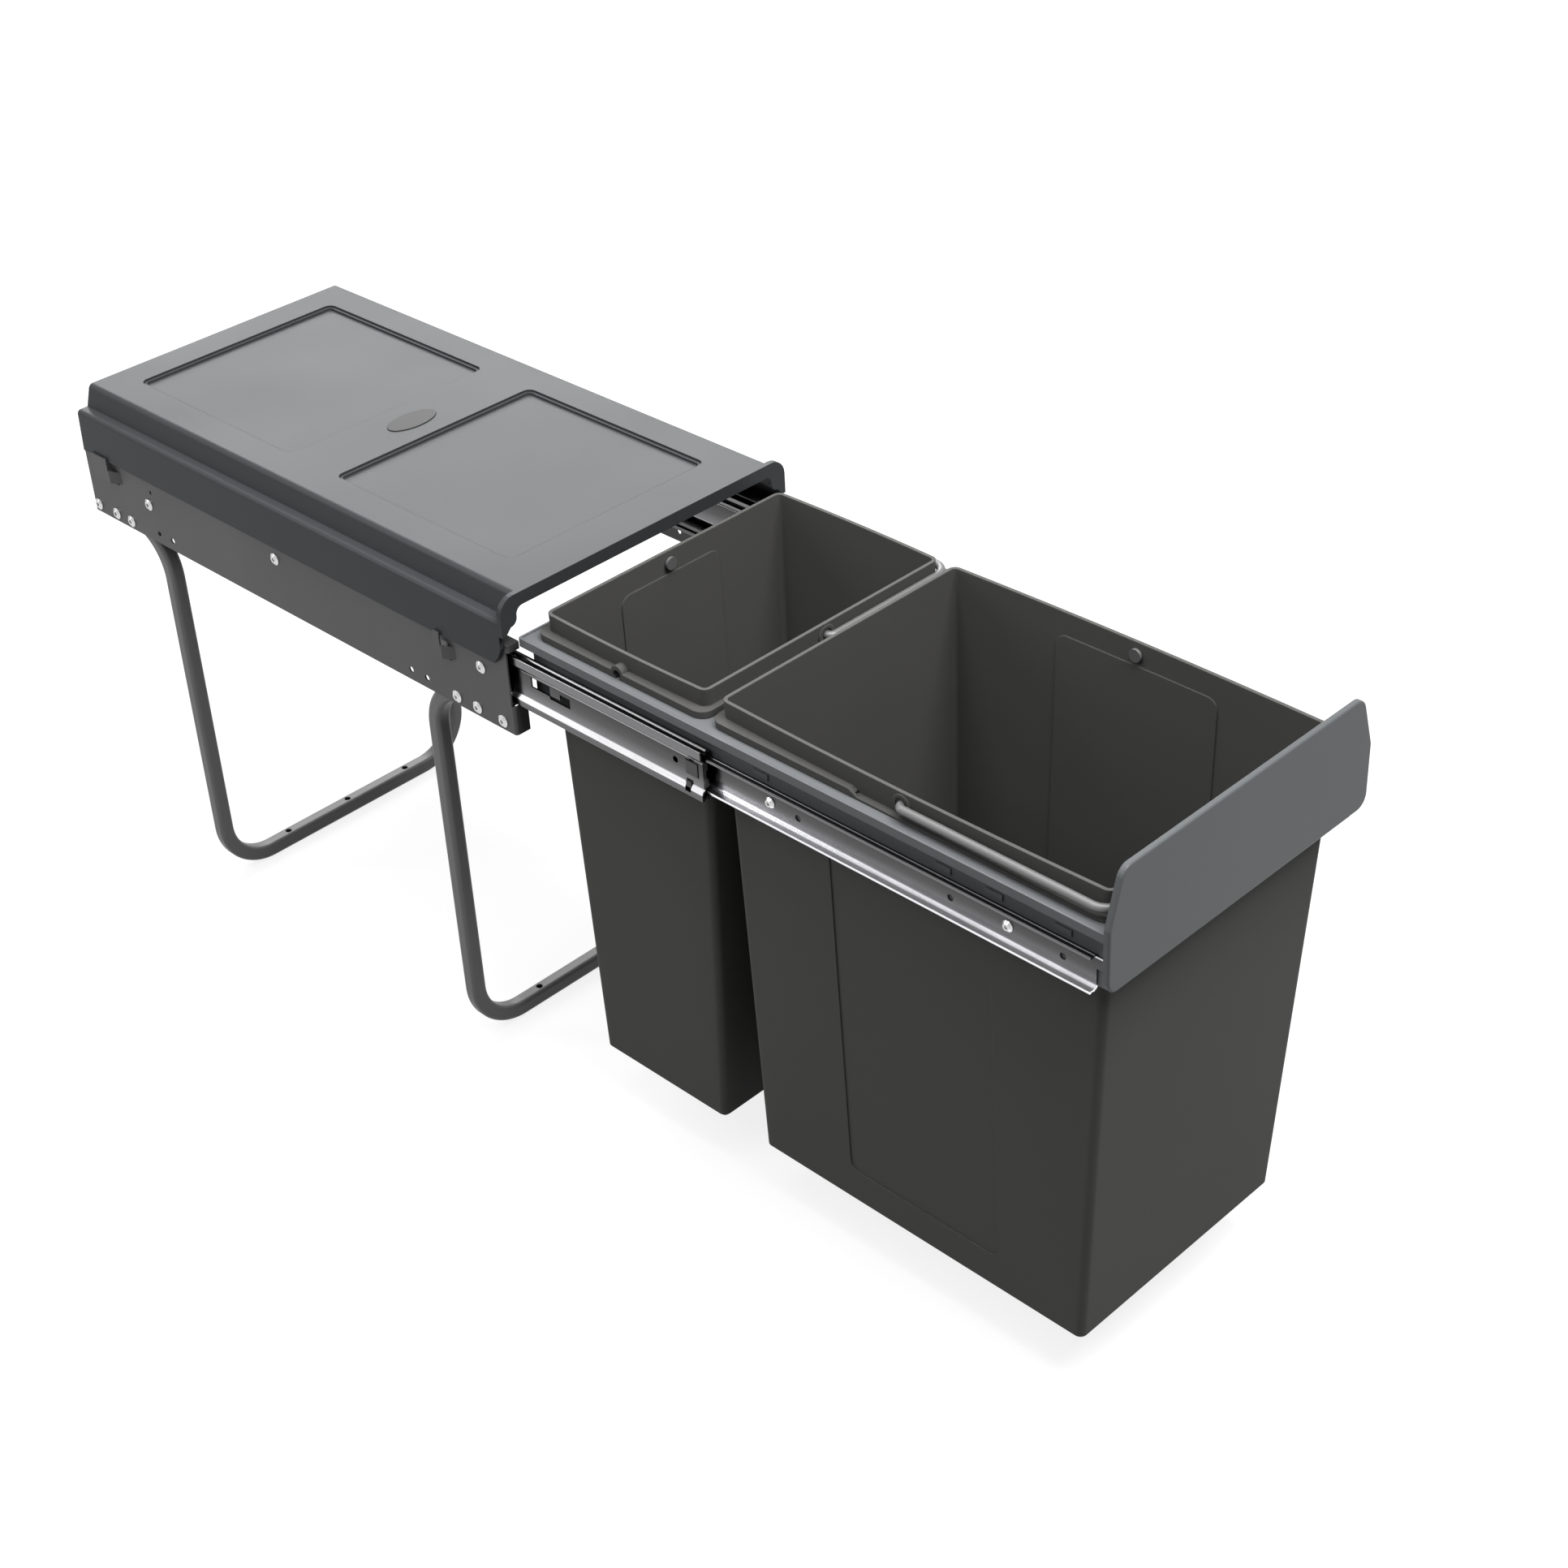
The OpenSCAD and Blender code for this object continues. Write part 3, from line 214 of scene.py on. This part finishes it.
def place_camera():
    """The camera, from its place, its angles and the photograph's frame."""
    azimuth, elevation, roll = (math.radians(angle) for angle in CAMERA_ANGLES)
    position = Vector(CAMERA_PLACE_MM) * MM
    back = Vector((
        math.sin(azimuth) * math.cos(elevation),
        -math.cos(azimuth) * math.cos(elevation),
        math.sin(elevation),
    ))
    level = Vector((math.cos(azimuth), math.sin(azimuth), 0))
    upright = back.cross(level)
    right = math.cos(roll) * level + math.sin(roll) * upright
    up = -math.sin(roll) * level + math.cos(roll) * upright
    data = bpy.data.cameras.new("photo_camera")
    data.sensor_width = SENSOR_MM
    data.lens = FOCAL_PIXELS * SENSOR_MM / PHOTO_SIZE
    data.clip_start = NEAREST_SEEN
    camera = bpy.data.objects.new("photo_camera", data)
    bpy.context.scene.collection.objects.link(camera)
    turn = Matrix((right, up, back)).transposed().to_4x4()
    camera.matrix_world = Matrix.Translation(position) @ turn
    bpy.context.scene.camera = camera


def light_world():
    """A white world where it is seen, and a weaker one where it lights."""
    world = bpy.data.worlds.new("white_room")
    bpy.context.scene.world = world
    made = Nodes(world)
    strength = made.node(
        "MapRange", {}, {"Value": made.seen_directly(), "To Min": WORLD_LIGHT, "To Max": 1.0})
    background = made.node("Background", {}, {"Color": WHITE, "Strength": strength})
    made.node("OutputWorld", {}, {"Surface": background})


def lay_floor():
    """A pale floor that keeps the object's shadow, and is seen as white beyond it."""
    bpy.ops.object.select_all(action="DESELECT")
    bpy.ops.mesh.primitive_plane_add(size=FLOOR_SIZE, location=(0, 0, -FLOOR_DROP))
    floor = bpy.context.object
    floor.name = "floor"
    made = Finish("floor_white")
    matt = made.node("BsdfDiffuse", {}, {"Color": FLOOR_COLOUR})
    reach = made.node("VectorMath", {"operation": "LENGTH"}, {0: made.place}, output="Value")
    glow = made.node("MapRange", {}, {"Value": reach, **FLOOR_GLOW})
    lit = made.node("Emission", {}, {"Strength": made.seen_directly() * glow})
    both = made.node("AddShader", {}, {0: matt, 1: lit})
    made.node("OutputMaterial", {}, {"Surface": both})
    floor.data.materials.append(made.material)


def softbox(name, position, target, size, power):
    """A lamp of that width and length in metres, turned to its target, with its length near Y."""
    data = bpy.data.lights.new(name, "AREA")
    data.shape = "RECTANGLE"
    data.size, data.size_y = size
    data.energy = power
    lamp = bpy.data.objects.new(name, data)
    bpy.context.scene.collection.objects.link(lamp)
    aim = Vector(target) - Vector(position)
    turn = aim.to_track_quat("-Z", "Y").to_matrix().to_4x4()
    lamp.matrix_world = Matrix.Translation(position) @ turn


# Finishes

def greys(dark, light, tint=NO_TINT):
    """The two linear colours that a finish runs between, from even greys and a slight tint."""
    return [tuple(level * share for share in tint) for level in (dark, light)]


def uneven(level, *swings):
    """A level that rises and falls with each noise by its own swing."""
    for noise, swing in swings:
        level = level + swing * (noise - NOISE_MIDDLE)
    return level


def moulded(name, colours, rough, gloss=0.5, edge=0.5 * MM):
    """Moulded plastic: a fine even texture and slow changes of shade."""
    made = Finish(name)
    fine = made.grain(scale=1400, detail=3.0)
    slow = made.grain(scale=9, detail=2.0)
    surface = {
        "Base Color": made.between(fine * 0.35 + slow * 0.65, *colours),
        "Roughness": uneven(rough, (slow, 0.12), (fine, 0.08)),
        "Specular IOR Level": gloss,
    }
    return made.finish(surface, edge, {"Height": fine, "Strength": 0.25, "Distance": 0.15 * MM})


def powder_coat(name, colours, rough):
    """Powder coat on sheet steel: a soft orange peel with a faint metallic fleck."""
    made = Finish(name)
    peel = made.grain(scale=620, detail=2.0)
    fleck = made.grain(scale=3200, detail=1.0)
    slow = made.grain(scale=12, detail=3.0)
    surface = {
        "Base Color": made.between(0.5 * fleck + 0.5 * slow, *colours),
        "Roughness": uneven(rough, (slow, 0.15), (fleck, 0.1)),
        "Specular IOR Level": 0.35,
    }
    bump = {"Height": peel * 0.7 + fleck * 0.3, "Strength": 0.2, "Distance": 0.12 * MM}
    return made.finish(surface, 0.4 * MM, bump)


def zinc(name, rough, levels):
    """Zinc-plated rolled steel with roll marks and a cloudy sheen; its colour follows the given
    levels by height, which on the slides paint shade on the webs and highlights along the ball
    tracks.
    """
    made = Finish(name)
    marks = made.grain(scale=1100, detail=2.0, stretch=ROLL_STRETCH)
    cloud = made.grain(scale=28, detail=3.0)
    # Colour by height from the levels: on the slides, painted highlights along the ball tracks and
    # painted shade on the webs
    height = made.node("SeparateXYZ", {}, {"Vector": made.place}, output="Z")
    share = (height - SLIDE_LOW) * (1 / SLIDE_HEIGHT)
    stops = [(at, (level, level, level, 1)) for at, level in levels]
    level = made.node("ValToRGB", {"stops": stops}, {"Fac": share})
    shade = level * (0.8 + 0.2 * marks + 0.2 * cloud)
    surface = {
        "Base Color": made.between(shade, ZINC_BLACK, ZINC_WHITE),
        "Metallic": 1.0,
        "Roughness": uneven(rough, (marks, 0.08), (cloud, 0.07)),
    }
    return made.finish(surface, 0.3 * MM)


def satin_wire(name, colours, rough):
    """Satin-coated wire with a thin lacquer."""
    made = Finish(name)
    fine = made.grain(scale=1500, detail=2.0)
    slow = made.grain(scale=20, detail=3.0)
    surface = {
        "Base Color": made.between(0.4 * fine + 0.6 * slow, *colours),
        "Metallic": 0.3,
        "Roughness": uneven(rough, (slow, 0.15)),
    }
    bump = {"Height": fine, "Strength": 0.1, "Distance": 0.05 * MM}
    return made.finish(surface, 0.2 * MM, bump)


def polished(name, colours, rough):
    """Hardened, polished steel."""
    made = Finish(name)
    slow = made.grain(scale=400, detail=2.0)
    surface = {
        "Base Color": made.between(slow, *colours),
        "Metallic": 1.0,
        "Roughness": uneven(rough, (slow, 0.08)),
    }
    bump = {"Height": slow, "Strength": 0.05, "Distance": 0.03 * MM}
    return made.finish(surface, 0.1 * MM, bump)


# One finish for each slot of the record
FINISHES = {
    "lid_plastic": moulded("lid_plastic", greys(0.038, 0.048, LID_TINT), 0.38, gloss=0.085),
    "carrier_plastic": moulded("carrier_plastic", greys(0.13, 0.16, CARRIER_TINT), 0.38, gloss=0.1),
    "panel_plastic": moulded("panel_plastic", greys(0.08, 0.1, PANEL_TINT), 0.38, gloss=0.24),
    "bin_plastic": moulded(
        "bin_plastic", greys(0.074, 0.09, BIN_TINT), 0.5, gloss=0.04, edge=1.0 * MM),
    "frame_steel": powder_coat("frame_steel", greys(0.044, 0.058), 0.42),
    # The slides' colour carries painted highlights and painted shade, set by height
    "slide_steel": zinc("slide_steel", 0.2, SLIDE_PAINTED_HIGHLIGHTS_AND_SHADE),
    "rivet_steel": polished("rivet_steel", greys(0.51, 0.6), 0.2),
    "handle_wire": satin_wire("handle_wire", greys(0.13, 0.17), 0.42),
    "black_plastic": moulded("black_plastic", greys(0.012, 0.02), 0.45),
    "cage_steel": zinc("cage_steel", 0.3, CAGE_LEVELS),
    "ball_steel": polished("ball_steel", greys(0.6375, 0.75), 0.08),
}
PLATE_PLASTIC = moulded("plate_plastic", greys(0.034, 0.042), 0.42, gloss=0.075)
# The floor tubes share the frame's powder coat; this lighter copy is painted light, for how bright
# they show
TUBE_STEEL_PAINTED_LIGHTER = powder_coat("tube_steel_painted_lighter", greys(0.115, 0.145), 0.42)


# Pieces

def dress_nodes():
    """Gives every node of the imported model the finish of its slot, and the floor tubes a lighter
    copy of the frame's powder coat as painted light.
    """
    slots = {part["node"]: part["material_slot"] for part in frame["record"]["subparts"]}
    for name, node in frame["nodes"].items():
        finish = TUBE_STEEL_PAINTED_LIGHTER if name.endswith("floor_tube") else FINISHES[slots[name]]
        for place in node.material_slots:
            place.material = finish


def add_lid_plate():
    """The bare plate in the oval recess of the lid's top, a little proud of it."""
    middle = (0, PLATE_Y, PLATE_BOTTOM + PLATE_SIZE[2] / 2)
    bpy.ops.object.select_all(action="DESELECT")
    bpy.ops.mesh.primitive_cylinder_add(
        vertices=PLATE_SIDES, radius=1, depth=1, location=middle, scale=PLATE_SIZE)
    plate = bpy.context.object
    plate.name = "lid_plate"
    bpy.ops.object.transform_apply(location=True, rotation=True, scale=True)
    bpy.ops.object.modifier_add(type="BEVEL")
    rounding = plate.modifiers[-1]
    rounding.width = PLATE_ROUNDING
    rounding.segments = PLATE_ROUNDING_STEPS
    bpy.ops.object.modifier_apply(modifier=rounding.name)
    plate.data.materials.append(PLATE_PLASTIC)
    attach(plate, "frame")


place_camera()
light_world()
lay_floor()
for box in SOFTBOXES:
    softbox(*box)
dress_nodes()
add_lid_plate()

scene = bpy.context.scene
scene.view_settings.view_transform = "Standard"
